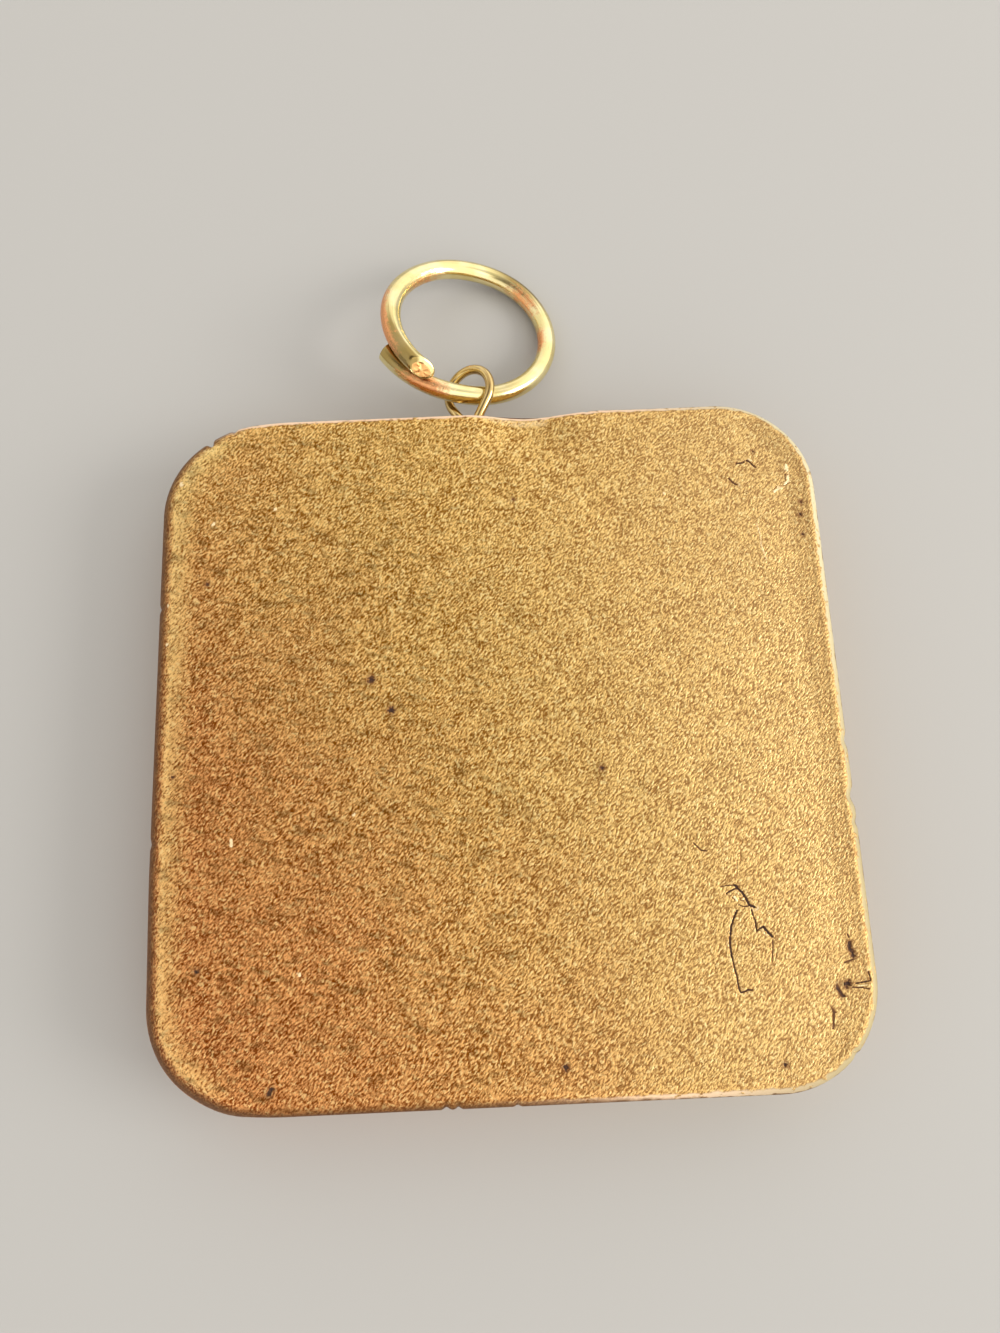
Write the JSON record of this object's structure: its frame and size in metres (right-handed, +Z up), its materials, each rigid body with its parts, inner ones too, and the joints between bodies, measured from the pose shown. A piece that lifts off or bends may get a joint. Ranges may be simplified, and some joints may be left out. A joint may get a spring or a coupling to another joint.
{
  "type": "square plaque pendant",
  "caption": "Square plaque pendant with round corners, lying with its plain gold-painted side up, on a wire eye and an overlapped jump ring.",
  "frame": {"origin": "centre of the plaque's underside", "axes": "+Y towards the eye and the jump ring, +X to the right of the gold side, +Z up, out of the gold side"},
  "size_m": [0.05, 0.0672, 0.0072],
  "materials": {
    "gold_paint": "cast resin with a black coat and a grainy metallic gold paint over it",
    "eye_wire": "dull, darkened",
    "ring_wire": "polished, finely scratched"
  },
  "bodies": {
    "root": {"plaque": "gold_paint", "eye": "eye_wire", "jump_ring": "ring_wire"}
  },
  "joints": []
}
